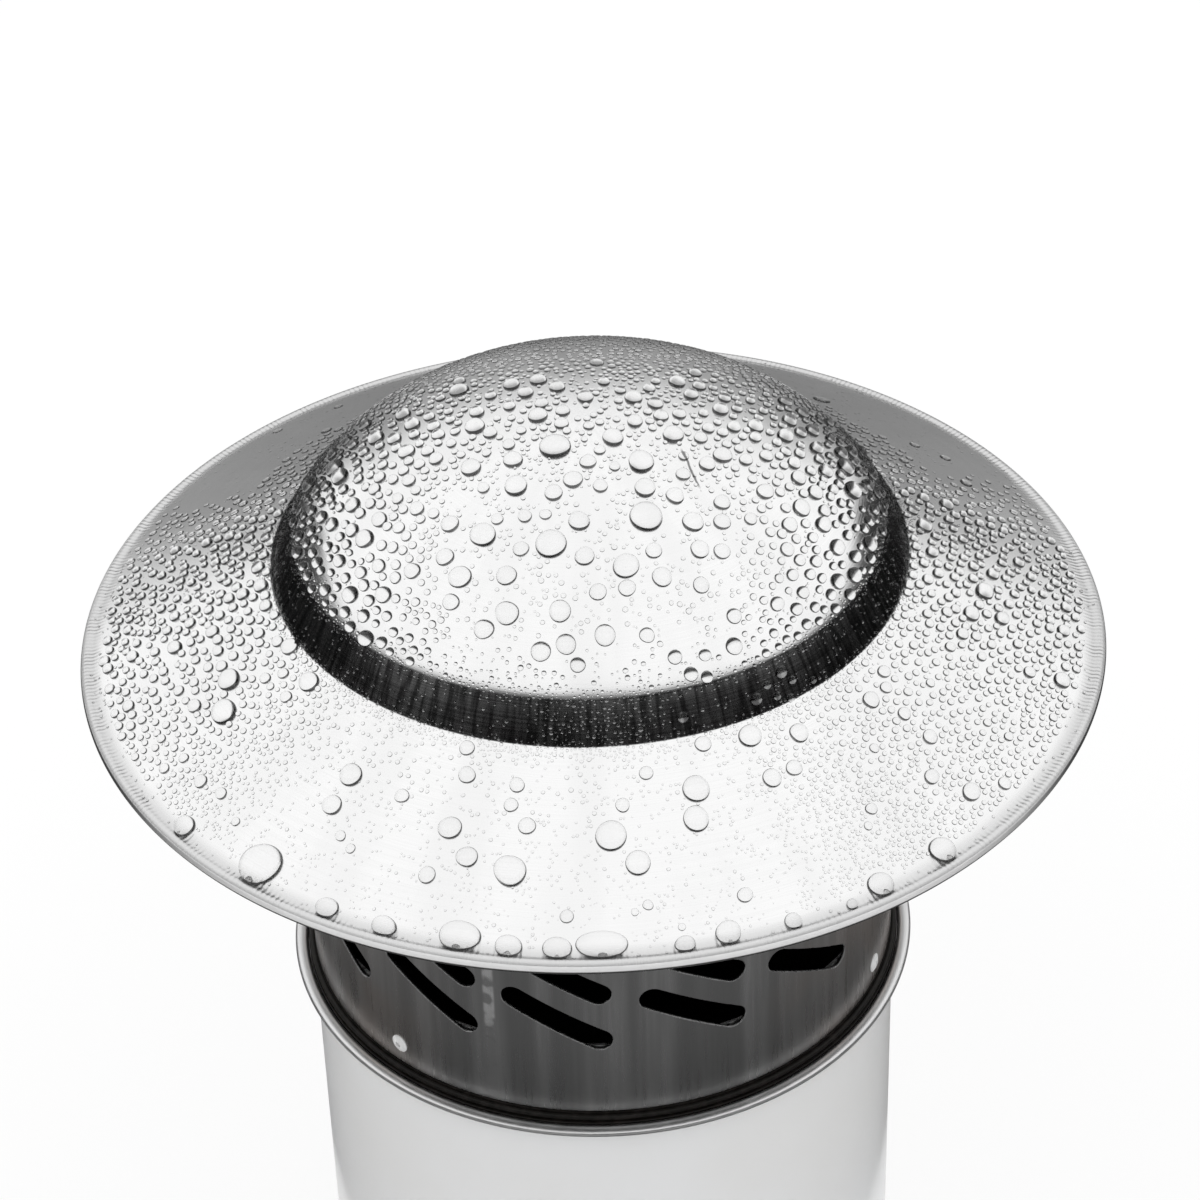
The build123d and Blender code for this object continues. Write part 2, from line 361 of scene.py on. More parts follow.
def in_slot(x, z, spread):
    """True where a point of the unrolled column lies in one of its slots, grown by a spread."""
    for height in slot_heights:
        along = x * slant_cos - (z - height) * slant_sin
        aside = x * slant_sin + (z - height) * slant_cos
        if hypot(max(abs(along) - slot_half, 0), aside) < SLOT_WIDTH / 2 + spread:
            return True
    return False


def column_net():
    """Points of the unrolled column, and an even net of triangles with the slots left out."""
    low = CAGE_BOTTOM + EDGE_ROUND
    side = np.linspace(low, neck_height, NET_UP)
    border = [(x, low) for x in column_places] + [(column_side, z) for z in side[1:-1]]
    border += [(x, neck_height) for x in column_places[::-1]] + [(-column_side, z) for z in side[::-1][1:-1]]
    loops = [border] + [slot_outline(height, EDGE_ROUND) for height in slot_heights]
    flat = [point for loop in loops for point in loop]
    edges = []
    first = 0
    for loop in loops:
        edges += [(first + i, first + (i + 1) % len(loop)) for i in range(len(loop))]
        first += len(loop)
    for row, z in enumerate(side[1:-1]):
        shift = (column_places[1] - column_places[0]) / 2 * (row % 2)
        for x in column_places[1:-1] + shift:
            if not in_slot(x, z, SLOT_ROOM) and x < column_side - SIDE_ROOM:
                flat.append((x, z))
    points, _, triangles, *_ = delaunay_2d_cdt([Vector(p) for p in flat], edges, [], 1, 1e-5)
    points = np.array([tuple(p) for p in points])
    kept = [list(t) for t in triangles if not in_slot(*points[list(t)].mean(0), EDGE_ROUND)]
    return points, kept


def column_edges(first):
    """Rounded edges of the column's slots and foot, as places, normals and faces, numbered from first."""
    places = []
    normals = []
    faces = []
    runs = [(slot_outline(height, 0), True) for height in slot_heights]
    runs.append(([(x, CAGE_BOTTOM) for x in column_places[::-1]], False))
    for run, closed in runs:
        directions = outline_directions(run) if closed else np.array([(0, 1)] * len(run))
        rows = []
        for spread, depth, lean in round_over():
            rows.append(first + len(places))
            for (x, z), (across, up) in zip(run, directions):
                places.append((x + across * spread, z + up * spread, depth))
                normals.append((-across * sin(lean), -up * sin(lean), cos(lean)))
        count = len(run)
        for upper, lower in zip(rows, rows[1:]):
            for i in range(count if closed else count - 1):
                j = (i + 1) % count
                faces.append([upper + i, upper + j, lower + j, lower + i])
    return places, normals, faces


def column_shell():
    """The unrolled column as places (along, height, depth), normals, faces and the edges' faces."""
    points, net = column_net()
    count = len(points)
    places = [(x, z, 0) for x, z in points] + [(x, z, CAGE_WALL) for x, z in points]
    normals = [(0, 0, 1)] * count + [(0, 0, -1)] * count
    faces = net + [[i + count for i in face[::-1]] for face in net]
    top = [i for i, (x, z) in enumerate(points) if abs(z - neck_height) < 1e-4]
    top.sort(key=lambda i: points[i][0])
    faces += [[i, j, j + count, i + count] for i, j in zip(top, top[1:])]
    edge_places, edge_normals, edge_faces = column_edges(2 * count)
    return np.array(places + edge_places), np.array(normals + edge_normals), faces, edge_faces


def roll_up(places, normals):
    """The same places and normals on each column of the cylinder."""
    up = np.array((0, 0, 1))
    vertices = []
    directions = []
    for column in range(SLOT_COLUMNS):
        turn = radians(SLOT_AZIMUTH + column * 360 / SLOT_COLUMNS) + places[:, 0] / CAGE_RADIUS
        outwards = np.stack([np.sin(turn), -np.cos(turn), np.zeros_like(turn)], -1)
        girth = np.stack([np.cos(turn), np.sin(turn), np.zeros_like(turn)], -1)
        vertices.append(outwards * (CAGE_RADIUS - places[:, 2:]) + up * places[:, 1:2])
        directions.append(girth * normals[:, :1] + outwards * normals[:, 2:] + up * normals[:, 1:2])
    return np.concatenate(vertices), np.concatenate(directions)


def add_cage():
    places, normals, faces, edge_faces = column_shell()
    vertices, directions = roll_up(places, normals)
    starts = range(0, len(vertices), len(places))
    known = KDTree(len(vertices))
    for index, vertex in enumerate(vertices):
        known.insert(vertex, index)
    known.balance()
    firsts = [min(found[1] for found in known.find_range(vertex, JOIN_REACH)) for vertex in vertices]
    first_of, joined = np.unique(firsts, return_inverse=True)
    all_faces = [[int(joined[i + start]) for i in face] for start in starts for face in faces + edge_faces]
    is_edge = ([0] * len(faces) + [1] * len(edge_faces)) * SLOT_COLUMNS
    steel = dark_steel()
    cage = new_object("cage_sheet", vertices[first_of], all_faces, [steel, punched_edge()], is_edge)
    cage.data.normals_split_custom_set_from_vertices([tuple(d) for d in directions[first_of]])
    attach(cage, "cap_head")
    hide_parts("cage")
    add_neck_tabs(steel)


def add_neck_tabs(steel):
    """The cage's top edge, bent in along the underside of the step and slit into tabs."""
    outer_foot = np.array((CAGE_RADIUS, neck_height))
    outer_top = outer_foot - NECK_LENGTH * step_down
    section = [outer_foot, outer_top, outer_top - CAGE_WALL * step_out, outer_foot - CAGE_WALL * step_out]
    half_gap = degrees(NECK_TAB_GAP / 2 / CAGE_RADIUS)
    for tab in range(NECK_TABS):
        start = 90 + tab * 360 / NECK_TABS
        span = (start + half_gap, start + 360 / NECK_TABS - half_gap)
        piece = lathe(f"neck_tab_{tab + 1}", section[::-1], NECK_TAB_SEGMENTS, [steel], span=span)
        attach(piece, "cap_head")


# Collar

def add_collar():
    bore, radius, height = COLLAR_BORE, COLLAR_RADIUS, COLLAR_HEIGHT
    seat_foot = (SEAT_RADII[0], SKIRT_FOOT)
    seat_top = (SEAT_RADII[1], height)
    chamfer = COLLAR_CHAMFER
    tube = [(bore, chamfer), (bore + chamfer, 0), (radius - chamfer, 0), (radius, chamfer)]
    tube += [(radius, SKIRT_FOOT), seat_foot, seat_top, (bore, height)]
    add_collar_piece("collar_shell", tube, "collar_tube", white_paint())

    land_meets_roll = 180 + degrees(asin((ROLL_CENTRE[1] - RING_TOP) / (ROLL_HEIGHT / 2)))
    ring = [(bore, height), (bore, RING_TOP)]
    ring += arc(ROLL_CENTRE, ROLL_WIDTH / 2, land_meets_roll, -90, 28, ROLL_HEIGHT / ROLL_WIDTH)
    ring += [(ROLL_CENTRE[0], height), (SKIRT_RADIUS, height), (SKIRT_RADIUS, SKIRT_FOOT)]
    ring += [seat_foot, seat_top]
    add_collar_piece("rim_roll", ring[::-1], "rim_ring", bright_steel())

    lip = bore + SEAL_LIP
    seal = [(bore, RING_TOP), (SEAL_RADIUS, RING_TOP), (SEAL_RADIUS, SEAL_BASE_TOP - SEAL_CHAMFER)]
    seal += [(SEAL_RADIUS - SEAL_CHAMFER, SEAL_BASE_TOP), (lip, SEAL_BASE_TOP)]
    seal += arc(SEAL_RIB_CENTRE, SEAL_RIB_RADIUS, -SEAL_RIB_ANGLE, SEAL_RIB_ANGLE, 16)
    seal += [(lip, SEAL_TOP), (bore, SEAL_TOP)]
    add_collar_piece("seal", seal, "seal_ring", rubber())


def add_collar_piece(name, section, node, material):
    piece = lathe(name, section[::-1], COLLAR_SEGMENTS, [material])
    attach(piece, "collar")
    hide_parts(node)


# Materials

class Nodes:
    """Builds shader nodes in a tree."""

    def __init__(self, tree):
        self.tree = tree

    def add(self, kind, inputs, **settings):
        """A node of this kind, with its inputs filled."""
        node = self.tree.nodes.new("ShaderNode" + kind)
        for key, value in settings.items():
            setattr(node, key, value)
        return self.fill(node, inputs)

    def fill(self, node, inputs):
        """Links each of these inputs of a node to a socket, or sets it to a value."""
        for key, value in inputs.items():
            if isinstance(value, bpy.types.NodeSocket):
                self.tree.links.new(value, node.inputs[key])
            else:
                node.inputs[key].default_value = value
        return node

    def show(self, node, output="Material Output"):
        self.tree.links.new(node.outputs[0], self.tree.nodes[output].inputs[0])

    def seen_share(self):
        """1 for rays that see this directly, in a mirror or through glass, and 0 for scattered light."""
        path = self.add("LightPath", {}).outputs
        seen = self.math("MAXIMUM", path["Is Camera Ray"], path["Is Glossy Ray"])
        return self.math("MAXIMUM", seen, path["Is Transmission Ray"])

    def math(self, operation, first, second=0.0):
        return self.add("Math", {0: first, 1: second}, operation=operation).outputs[0]

    def plus(self, first, second):
        return self.math("ADD", first, second)

    def times(self, first, second):
        return self.math("MULTIPLY", first, second)


class Look(Nodes):
    """A Principled material built from linked nodes, with its plain values on the shader's own sockets."""

    def __init__(self, name, **plain):
        self.material = bpy.data.materials.new(name)
        self.material.use_nodes = True
        super().__init__(self.material.node_tree)
        self.shader = self.tree.nodes["Principled BSDF"]
        self.drive(**plain)

    def places(self):
        """Place on the object in millimetres, as X, Y, Z, a vector and the distance from the axis."""
        coordinates = self.add("TexCoord", {}).outputs["Object"]
        place = self.add("VectorMath", {0: coordinates, "Scale": 1 / MM}, operation="SCALE").outputs[0]
        x, y, z = self.add("SeparateXYZ", {0: place}).outputs
        return x, y, z, place, self.math("SQRT", self.weighed(x, x, y, y))

    def weighed(self, x, x_weight, y, y_weight):
        return self.plus(self.times(x, x_weight), self.times(y, y_weight))

    def angle(self, x, y):
        """Azimuth in radians from the front, growing towards +X."""
        return self.math("ARCTAN2", x, self.times(y, -1.0))

    def vector(self, x, y, z):
        return self.add("CombineXYZ", {0: x, 1: y, 2: z}).outputs[0]

    def noise(self, vector, scale, detail=2.0):
        return self.add("TexNoise", {"Vector": vector, "Scale": scale, "Detail": detail}).outputs[0]

    def ramp(self, value, low, high, start=0.0, end=1.0):
        """Runs smoothly from start to end while the value goes from low to high."""
        inputs = {"Value": value, "From Min": low, "From Max": high, "To Min": start, "To Max": end}
        return self.add("MapRange", inputs, interpolation_type="SMOOTHSTEP").outputs[0]

    def between(self, value, low, high, soft):
        """1 while the value lies between low and high, falling to 0 just outside."""
        rise = self.ramp(value, low - soft, low)
        return self.times(rise, self.ramp(value, high, high + soft, 1.0, 0.0))

    def blend(self, share, first, second):
        """A colour between two colours or greys."""
        first, second = (grey(value) if isinstance(value, float) else value for value in (first, second))
        return self.add("Mix", {0: share, 6: first, 7: second}, data_type="RGBA").outputs[2]

    def bump(self, height, distance, strength=1.0, under=None):
        inputs = {"Height": height, "Distance": distance * MM, "Strength": strength}
        if under:
            inputs["Normal"] = under
        return self.add("Bump", inputs).outputs[0]

    def drive(self, **sockets):
        """The material, with these sockets of its shader filled."""
        self.fill(self.shader, {name.replace("_", " "): value for name, value in sockets.items()})
        return self.material


def grey(value):
    return (value, value, value, 1)


# One end of the fine scratch on the dome, in the plan, and its run from there to the other
SCRATCH_END = (15.0, -8.6)
SCRATCH_RUN = (2.3, -7.8)
RIM_RIPPLES = 560
RIM_BAND = (79.0, 81.0)


def hat_steel():
    """Spun stainless sheet with fine turning lines, painted rays of soft sheen, a streaky step painted dark
    as a painted reflection of dark surroundings, a rippled rim, and a painted shade line under the rim.
    """
    look = Look("spun_steel", Metallic=1.0)
    x, y, z, place, radius = look.places()
    reach = look.plus(radius, 1.0)
    sideways = look.math("DIVIDE", x, reach)
    endways = look.math("DIVIDE", y, reach)
    lines = look.noise(look.vector(look.times(radius, 6.0), sideways, endways), 1.0, 4.0)
    round_hat = look.vector(sideways, endways, look.times(radius, 0.004))
    # painted highlight: the rays noise paints soft radial streaks of sheen into the sheet's colour
    rays = look.noise(round_hat, 7.0, 3.0)
    streaks = look.noise(round_hat, 60.0, 3.0)
    cloud = look.noise(place, 0.05, 3.0)

    sheet = look.blend(look.ramp(lines, 0.3, 0.7), 0.93, 0.97)
    sheet_with_ray_sheen = look.blend(look.ramp(rays, 0.35, 0.65, 0.0, 0.6), sheet, 0.88)
    on_step = look.between(radius, STEP_TOP[0] + 0.1, STEP_FOOT[0] - 0.3, 0.25)
    # painted reflection: the step's band is painted dark and streaky, standing for the dark surroundings it
    # reflects
    step = look.blend(look.ramp(streaks, 0.35, 0.65), 0.10, 0.34)
    on_rim = look.ramp(radius, *RIM_BAND)
    # painted shade: all below the middle of the rim's curl is painted dark, as a dark line under the rim
    under = look.ramp(z, BRIM_HEIGHT - 0.5, BRIM_HEIGHT - 0.1, 1.0, 0.0)
    rim_with_underside_shade = look.blend(under, look.blend(on_rim, sheet_with_ray_sheen, 0.74), 0.26)
    colour = look.blend(on_step, rim_with_underside_shade, step)

    along_x, along_y = unit(*SCRATCH_RUN)
    from_x = look.math("SUBTRACT", x, SCRATCH_END[0])
    from_y = look.math("SUBTRACT", y, SCRATCH_END[1])
    along = look.weighed(from_x, along_x, from_y, along_y)
    aside = look.weighed(from_x, along_y, from_y, -along_x)
    wander = look.times(look.math("SUBTRACT", look.noise(place, 0.6), 0.5), 0.5)
    off_line = look.math("ABSOLUTE", look.plus(aside, wander))
    across = look.ramp(off_line, 0.08, 0.26, 1.0, 0.0)
    scratch = look.times(across, look.between(along, 0.0, hypot(*SCRATCH_RUN) - 1.5, 1.5))
    scratched = look.blend(scratch, colour, 0.24)

    wave = look.math("SINE", look.times(look.angle(x, y), RIM_RIPPLES))
    uneven = look.ramp(look.noise(round_hat, 25.0), 0.35, 0.65, 0.2, 1.0)
    ripple = look.times(look.times(wave, uneven), on_rim)
    lined = look.bump(lines, 0.02, 0.25)
    rippled = look.bump(ripple, 0.035, 1.0, lined)
    cut = look.bump(scratch, -0.05, 0.6, rippled)
    cloudy = look.ramp(cloud, 0.3, 0.7, 0.12, 0.18)
    rough = look.plus(cloudy, look.ramp(lines, 0.3, 0.7, 0.0, 0.05))
    worn = look.plus(rough, look.times(on_rim, 0.16))
    lip_worn = look.plus(worn, look.ramp(radius, BRIM_RADIUS - 0.9, BRIM_RADIUS - 0.4, 0.0, 0.30))
    return look.drive(Base_Color=scratched, Roughness=lip_worn, Normal=cut)


def lip_steel():
    """The rim's outer side, worn dull, with painted shade: a dark line along its lower edge, and a dark
    outline round the sides and back.
    """
    look = Look("worn_lip_painted_shade", Metallic=0.35)
    _, y, z, place, radius = look.places()
    outermost = look.ramp(radius, BRIM_RADIUS - 0.30, BRIM_RADIUS - 0.08)
    # painted shade: a dark outline along the lip's outermost edge at the sides and back, and a dark line
    # under its lower edge
    back_outline_shade = look.times(outermost, look.ramp(y, -75.0, -35.0))
    under = look.ramp(z, BRIM_HEIGHT - 0.30, BRIM_HEIGHT - 0.05, 1.0, 0.0)
    grain = look.noise(place, 0.4)
    return look.drive(
        Base_Color=look.blend(look.math("MAXIMUM", back_outline_shade, under), 0.86, 0.05),
        Roughness=look.ramp(grain, 0.3, 0.7, 0.45, 0.60),
    )


def dark_steel():
    """Rolled sheet with soft upright bands, a brown bloom and a mottled weld seam, and the inside painted
    near black as shade.
    """
    look = Look("dark_rolled_steel", Metallic=1.0)
    x, y, z, place, radius = look.places()
    upright = look.vector(x, y, look.times(z, 0.04))
    bands = look.noise(upright, 0.16, 3.0)
    fine = look.noise(upright, 1.5, 3.0)
    cloud = look.noise(place, 0.05)
    banded = look.blend(look.ramp(bands, 0.35, 0.65), 0.28, 0.46)
    lined = look.blend(look.ramp(fine, 0.3, 0.7, 0.0, 0.35), banded, 0.36)
    at_sides = look.ramp(look.math("ABSOLUTE", x), 22.0, 44.0, 0.0, 0.6)
    bloom = look.times(at_sides, look.ramp(cloud, 0.4, 0.6, 0.3, 1.0))
    bloomed = look.blend(bloom, lined, (0.44, 0.37, 0.33, 1))

    turned = look.math("SUBTRACT", look.angle(x, y), radians(WELD_AZIMUTH))
    off_seam = look.math("ABSOLUTE", look.times(turned, CAGE_RADIUS))
    seam = look.ramp(off_seam, 0.7, 1.15, 1.0, 0.0)
    blotches = look.ramp(look.noise(place, 0.42, 1.0), 0.40, 0.66)
    bright = look.times(blotches, look.between(z, 87.0, 98.0, 4.0))
    weld = look.blend(look.math("MAXIMUM", bright, 0.12), 0.36, 0.85)
    welded = look.blend(seam, bloomed, weld)

    # painted shade: the inside face is painted near black, as the shade inside the cage
    inside = look.ramp(radius, CAGE_RADIUS - CAGE_WALL, CAGE_RADIUS - CAGE_WALL + 0.12, 1.0, 0.0)
    colour = look.blend(inside, welded, 0.015)
    rough = look.plus(look.ramp(fine, 0.3, 0.7, 0.26, 0.36), look.times(inside, 0.3))
    beaded = look.bump(look.times(seam, look.ramp(blotches, 0.0, 1.0, 0.6, 1.0)), 0.06, 0.6)
    return look.drive(Base_Color=colour, Roughness=rough, Normal=look.bump(fine, 0.02, 0.3, beaded))


def punched_edge():
    """The bare, brighter metal round each punched slot, with the inner half of the rounded edge painted near
    black as shade.
    """
    look = Look("punched_edge", Metallic=1.0)
    *_, place, radius = look.places()
    grain = look.noise(place, 1.2)
    bare = look.blend(look.ramp(grain, 0.3, 0.7), 0.40, 0.60)
    # painted shade: the inner half of each rounded edge is painted near black, as the shade inside the cage
    deep = look.ramp(radius, CAGE_RADIUS - 0.30, CAGE_RADIUS - 0.18, 1.0, 0.0)
    return look.drive(
        Base_Color=look.blend(deep, bare, 0.015),
        Roughness=look.ramp(grain, 0.3, 0.7, 0.25, 0.35),
    )


def bright_steel():
    """Polished rolled ring with faint lines along its girth."""
    look = Look("bright_ring_steel", Metallic=1.0)
    x, _, z, _, radius = look.places()
    lines = look.noise(look.vector(look.times(radius, 8.0), x, look.times(z, 8.0)), 0.5)
    return look.drive(
        Base_Color=look.blend(look.ramp(lines, 0.3, 0.7), 0.80, 0.92),
        Roughness=look.ramp(lines, 0.3, 0.7, 0.32, 0.40),
    )


def plain_metal(name, dark, light, rough, shaded_inside_radius=0.0, metallic=1.0):
    """A metal with soft cloudy variation, painted near black as shade nearer to the axis than a radius."""
    look = Look(name, Metallic=metallic)
    *_, place, radius = look.places()
    cloud = look.noise(place, 0.8, 3.0)
    colour = look.blend(look.ramp(cloud, 0.35, 0.65), dark, light)
    if shaded_inside_radius:
        # painted shade: inside the radius the metal is painted near black, as the dark inside of the flue
        inside_shade = look.ramp(radius, shaded_inside_radius - 0.05, shaded_inside_radius, 1.0, 0.0)
        colour = look.blend(inside_shade, colour, 0.01)
    return look.drive(
        Base_Color=colour,
        Roughness=look.ramp(cloud, 0.3, 0.7, rough - 0.05, rough + 0.05),
        Normal=look.bump(cloud, 0.02, 0.3),
    )


def white_paint():
    """Satin white enamel with a faint orange-peel surface outside, and the inside painted dull near black as
    shade.
    """
    look = Look("white_enamel", Coat_Weight=0.3, Coat_Roughness=0.15)
    *_, place, radius = look.places()
    cloud = look.noise(place, 0.03)
    peel = look.noise(place, 0.9)
    # painted shade: the bore is painted near black, as the dark inside of the flue
    inside = look.ramp(radius, COLLAR_BORE + 0.02, COLLAR_BORE + 0.15, 1.0, 0.0)
    paint = look.blend(look.ramp(cloud, 0.3, 0.7), (0.80, 0.80, 0.795, 1), (0.83, 0.835, 0.84, 1))
    return look.drive(
        Base_Color=look.blend(inside, paint, 0.02),
        Roughness=look.ramp(peel, 0.3, 0.7, 0.32, 0.42),
        Normal=look.bump(peel, 0.01, 0.3),
    )


def rubber():
    """Black rubber, faintly brown, with fine dust."""
    look = Look("seal_rubber_black", Specular_IOR_Level=0.2)
    *_, place, _ = look.places()
    dust = look.noise(place, 0.6, 4.0)
    dark, pale = (0.008, 0.007, 0.006, 1), (0.020, 0.017, 0.015, 1)
    return look.drive(
        Base_Color=look.blend(look.ramp(dust, 0.4, 0.7), dark, pale),
        Roughness=look.ramp(dust, 0.3, 0.7, 0.38, 0.55),
        Normal=look.bump(dust, 0.03, 0.3),
    )


def water(name, tint):
    """Clear water, darkened to this tint."""
    return Look(name, Transmission_Weight=1.0, IOR=1.333, Roughness=0.0, Base_Color=grey(tint)).material


# Water drops on the hat

# Drops that stand out in the photograph, as pixel x, pixel y, width and height in pixels
RIM_DROPS = [
    (182, 829, 23, 21), (256, 871, 45, 36), (326, 910, 24, 19), (383, 929, 27, 19), (458, 943, 43, 29),
    (508, 949, 29, 21), (557, 951, 30, 22), (602, 950, 52, 28), (686, 948, 21, 16), (731, 942, 26, 22),
    (796, 927, 18, 13), (855, 908, 12, 9), (884, 890, 28, 22), (948, 857, 28, 22),
]
# The others lie round, and have no height here
BRIM_DROPS = [
    (510, 871, 33), (611, 836, 32), (638, 863, 26), (450, 828, 24), (467, 857, 22), (351, 775, 24),
    (332, 805, 21), (696, 789, 28), (696, 819, 27), (772, 778, 20), (750, 736, 24), (229, 680, 24),
    (224, 712, 28), (984, 592, 20), (971, 614, 18), (309, 682, 22), (286, 697, 13), (290, 647, 19),
    (467, 775, 18), (467, 748, 16), (427, 875, 18), (402, 796, 15), (517, 785, 16), (527, 826, 18),
    (511, 805, 15), (703, 744, 17), (799, 733, 20), (794, 768, 17), (930, 737, 16), (871, 700, 18),
    (745, 895, 16), (616, 932, 9), (682, 927, 8), (648, 905, 11), (781, 672, 13), (756, 699, 13),
    (767, 685, 9), (777, 696, 9), (792, 680, 9), (791, 698, 9), (683, 717, 12), (813, 680, 8),
]
DOME_DROPS = [
    (555, 447, 31), (646, 517, 34), (551, 544, 32), (460, 577, 24), (507, 613, 25), (483, 535, 27),
    (641, 462, 27), (673, 435, 22), (626, 566, 27), (765, 492, 18), (869, 544, 18), (854, 575, 17),
    (475, 427, 21), (471, 468, 21), (513, 460, 20), (516, 486, 24), (573, 480, 20), (588, 462, 17),
    (579, 521, 22), (560, 611, 23), (566, 644, 21), (605, 635, 22), (484, 629, 21), (451, 602, 18),
    (445, 557, 19), (417, 509, 16), (450, 524, 19), (379, 566, 15), (662, 577, 21), (598, 592, 18),
    (627, 588, 18), (693, 522, 22), (675, 496, 19), (645, 488, 22), (722, 522, 18), (734, 646, 18),
    (734, 616, 16), (691, 674, 15), (707, 677, 13), (675, 657, 15), (647, 635, 16), (705, 655, 13),
]
RIM_EDGE = BRIM_RADIUS - 1.5
# Gap between them as a share of the smaller one's radius. They overlap a little.
SEEN_GAP = -0.2

outer_radii = np.array([r for r, _ in hat_outer])
outer_heights = np.array([z for _, z in hat_outer])


def on_hat(x, y):
    """Points of the hat's outer face over plan points, and the face's normals there."""
    radius = np.clip(np.hypot(x, y), 1e-6, BRIM_RADIUS - 0.05)
    step = 0.05
    inner, height, outer = (np.interp(radius + off, outer_radii, outer_heights) for off in (-step, 0, step))
    slope = (outer - inner) / (2 * step)
    size = np.sqrt(1 + slope**2)
    normal = np.stack([-slope / size * x / radius, -slope / size * y / radius, 1 / size], -1)
    return np.stack([x, y, height], -1), normal


def smooth(value, low, high):
    share = np.clip((value - low) / (high - low), 0, 1)
    return share * share * (3 - 2 * share)


class Drops:
    """Drops placed so far, kept by cells of the plan, so that a new one only meets its neighbours."""

    CELL = 2.0

    def __init__(self):
        self.cells = {}
        self.placed = {}

    def place(self, kind, points, normals, radii, gap, slim=1.0):
        """Keeps each drop that lands clear of the ones before it. A slim drop is narrower down the slope."""
        kept = self.placed.setdefault(kind, [])
        for point, normal, radius in zip(points.tolist(), normals.tolist(), radii.tolist()):
            x, y, z = point
            reach = radius * (1 + gap / 2)
            spans = [range(int((v - reach) // self.CELL), int((v + reach) // self.CELL) + 1) for v in (x, y)]
            cells = [self.cells.setdefault(cell, []) for cell in product(*spans)]
            if any(self.touches(x, y, z, radius, gap, other) for cell in cells for other in cell):
                continue
            for cell in cells:
                cell.append((x, y, z, radius))
            kept.append((*point, *normal, radius, slim))

    def touches(self, x, y, z, radius, gap, other):
        apart = radius + other[3] + gap * min(radius, other[3])
        return (x - other[0]) ** 2 + (y - other[1]) ** 2 + (z - other[2]) ** 2 < apart * apart


def polar(x, y):
    """Radius, azimuth and size of the azimuth of plan points, in degrees."""
    azimuth = np.degrees(np.arctan2(x, -y))
    return np.hypot(x, y), azimuth, np.abs(azimuth)


# Rules of the drops: how thickly they lie at plan points, from 0 to 1, and their usual radius

def medium_rule(x, y):
    radius, _, off_front = polar(x, y)
    on_dome = radius < STEP_TOP[0] - 1.5
    on_brim = (radius > STEP_FOOT[0] + 2) & (radius < BRIM_RADIUS - 5)
    bare = smooth(-y, -2, 22) * smooth(34 - np.abs(x), 0, 14)
    sides = smooth(off_front, 25, 60) * (1 - smooth(off_front, 95, 112))
    behind = smooth(y, 4, 20)
    dome_share = 0.30 * (1 - 0.7 * bare) * (1 - behind)
    share = np.where(on_dome, dome_share, np.where(on_brim, 0.02 + 0.03 * sides, 0.0))
    return share, np.where(on_dome, 1.25, 1.05)


def small_rule(x, y):
    radius, azimuth, off_front = polar(x, y)
    left = azimuth < 0

    bare_front = smooth(-y, -4, 18) * smooth(34 - np.abs(x), 0, 14)
    middle = smooth(24 - np.abs(x), 0, 10) * smooth(y, -16, -8) * (1 - smooth(y, 10, 18))
    behind = smooth(y, -4, 20)
    dome_share = (1 - 0.94 * bare_front) * (1 - 0.80 * middle)
    dome_size = 1.02 - 0.52 * behind - 0.10 * smooth(y, 22, 40) - 0.10 * smooth(radius, 34, 46)
    dome_size += (0.36 - dome_size) * bare_front - 0.3 * middle

    filled = np.where(left, smooth(off_front, 32, 62), smooth(off_front, 8, 40))
    outwards = smooth(radius, 54, 79)
    beyond = smooth(off_front, 98, 114)
    left_size = 0.32 + 0.62 * smooth(off_front, 40, 80) - 0.18 * outwards - 0.16 * beyond
    right_size = 0.25 + 0.40 * smooth(off_front, 12, 66) + 0.28 * smooth(off_front, 62, 92)
    right_size -= 0.14 * outwards + 0.22 * beyond
    bare_back = smooth(off_front, 103, 116) * smooth(radius, 57, 63)
    brim_share = (0.06 + 0.94 * filled**3) * (1 - bare_back)
    brim_size = np.where(left, left_size, right_size)

    on_dome = radius < STEP_TOP[0] - 0.5
    on_brim = (radius > STEP_FOOT[0] + 0.5) & (radius < BRIM_RADIUS - 4)
    share = np.where(on_dome, dome_share, np.where(on_brim, brim_share, 0.0))
    return share, np.where(on_dome, dome_size, brim_size)


def tiny_rule(x, y):
    radius, _, off_front = polar(x, y)
    off_step = np.maximum(np.maximum(STEP_TOP[0] - radius, radius - STEP_FOOT[0]), 0)
    on_step = off_step <= 0
    off_edge = np.minimum(np.abs(radius - STEP_TOP[0]), np.abs(radius - STEP_FOOT[0]))
    beside = 0.9 * (1 - smooth(off_step, 0.2, 4.5))
    front = 1 - smooth(off_front, 60, 100)
    rim = smooth(radius, 76, 78) * (1 - smooth(radius, 79.5, 81))
    patch = 1 - smooth(np.abs(x - 1), 4, 12) * (y < 0)
    across = 0.06 + 0.45 * patch + 0.55 * (1 - smooth(off_edge, 0.2, 0.8))
    share = np.where(on_step, across, 0.12 + 0.12 * front + beside + 0.12 * rim)
    return share, np.where(on_step, 0.19 + 0.05 * patch, 0.20)


LEAST_RADIUS = 0.09


def scatter(drops, kind, rule, tries, ring, gap, vary):
    """Throws drops at random over a ring of the hat. A drop that lands on another one is left out."""
    radius = np.sqrt(rng.uniform(ring[0] ** 2, ring[1] ** 2, tries))
    turn = rng.uniform(-pi, pi, tries)
    x = radius * np.sin(turn)
    y = -radius * np.cos(turn)
    share, usual = rule(x, y)
    sizes = usual * (1 + vary * rng.normal(0, 1, tries))
    kept = (rng.random(tries) < share) & (sizes > LEAST_RADIUS)
    points, normals = on_hat(x[kept], y[kept])
    drops.place(kind, points, normals, sizes[kept], gap)


